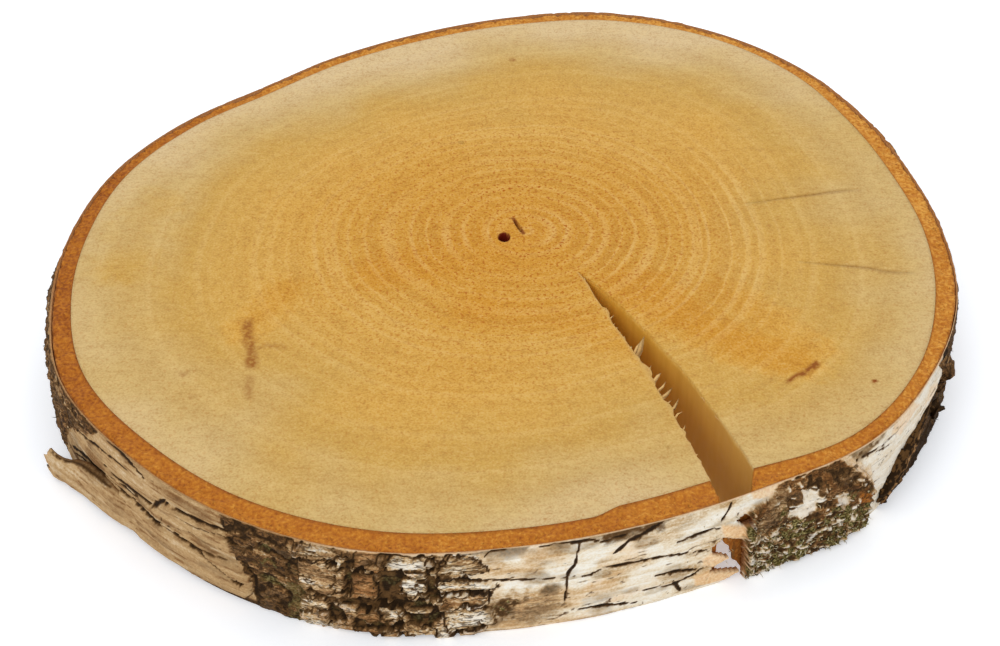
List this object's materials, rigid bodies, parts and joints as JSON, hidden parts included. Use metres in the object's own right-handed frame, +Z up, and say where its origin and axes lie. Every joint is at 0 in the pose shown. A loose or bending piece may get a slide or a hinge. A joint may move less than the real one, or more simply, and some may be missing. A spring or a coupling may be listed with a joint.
{
  "type": "wood slice",
  "caption": "Cross slice of a birch trunk with growth rings, an open drying split and rough bark, lying flat as a tray, trivet or display base.",
  "frame": {"origin": "where the pith meets the sawn underside", "axes": "+Z up through the pith to the sawn top face; the open split points to about 297 degrees counterclockwise from +X, so the picture looks along +Y"},
  "size_m": [0.2707, 0.2786, 0.029],
  "materials": {
    "wood": "sawn, unsealed birch with faint growth rings",
    "inner_bark": "granular orange-brown inner bark, sawn",
    "outer_bark": "cracked white and grey birch bark with dark fissures, moss and torn paper edges"
  },
  "bodies": {
    "root": {"wood": "wood", "inner_bark": "inner_bark", "outer_bark": "outer_bark"}
  },
  "joints": []
}
